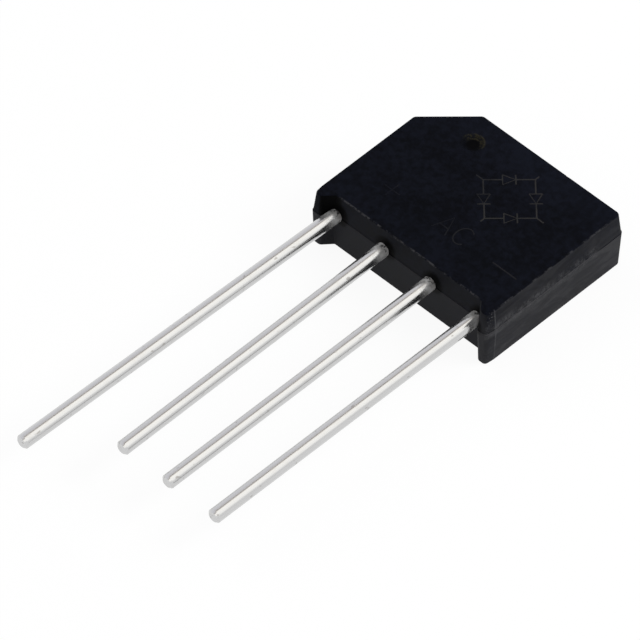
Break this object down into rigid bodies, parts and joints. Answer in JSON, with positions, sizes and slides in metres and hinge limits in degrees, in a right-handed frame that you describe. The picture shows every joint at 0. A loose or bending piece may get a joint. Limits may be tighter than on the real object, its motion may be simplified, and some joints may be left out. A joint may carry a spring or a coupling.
{
  "type": "single in-line bridge rectifier",
  "caption": "Black moulded epoxy block with one slanted corner, feet on its lead side and straight round tinned leads in one row; turns AC into pulsing DC.",
  "frame": {"origin": "middle of the body's flat back face, measured between the foot tips and the top edge at the parting line", "axes": "+Z out of the marking face (the part lies on its back face), +X along the row of leads from the plus lead to the minus lead, and the leads leave along -Y"},
  "size_m": [0.0192, 0.0488, 0.0057],
  "materials": {
    "epoxy": "satin moulded",
    "tinned_lead": "bright tin over copper",
    "copper": "bare stamped copper",
    "silicon": "polished silicon with a glass ring",
    "solder": "high-lead solder"
  },
  "bodies": {
    "root": {"moulded_body": "epoxy", "lead_plus": "tinned_lead", "lead_ac_1": "tinned_lead", "lead_ac_2": "tinned_lead", "lead_minus": "tinned_lead", "die_plus_1": "silicon", "die_plus_2": "silicon", "die_minus_1": "silicon", "die_minus_2": "silicon", "jumper_ac_1": "copper", "jumper_ac_2": "copper", "jumper_minus": "copper", "die_solder_plus_1": "solder", "die_solder_plus_2": "solder", "die_solder_minus_1": "solder", "die_solder_minus_2": "solder", "button_solder_plus_1": "solder", "button_solder_plus_2": "solder", "button_solder_minus_1": "solder", "button_solder_minus_2": "solder", "foot_solder_ac_1": "solder", "foot_solder_ac_2": "solder", "foot_solder_minus": "solder"}
  },
  "joints": []
}
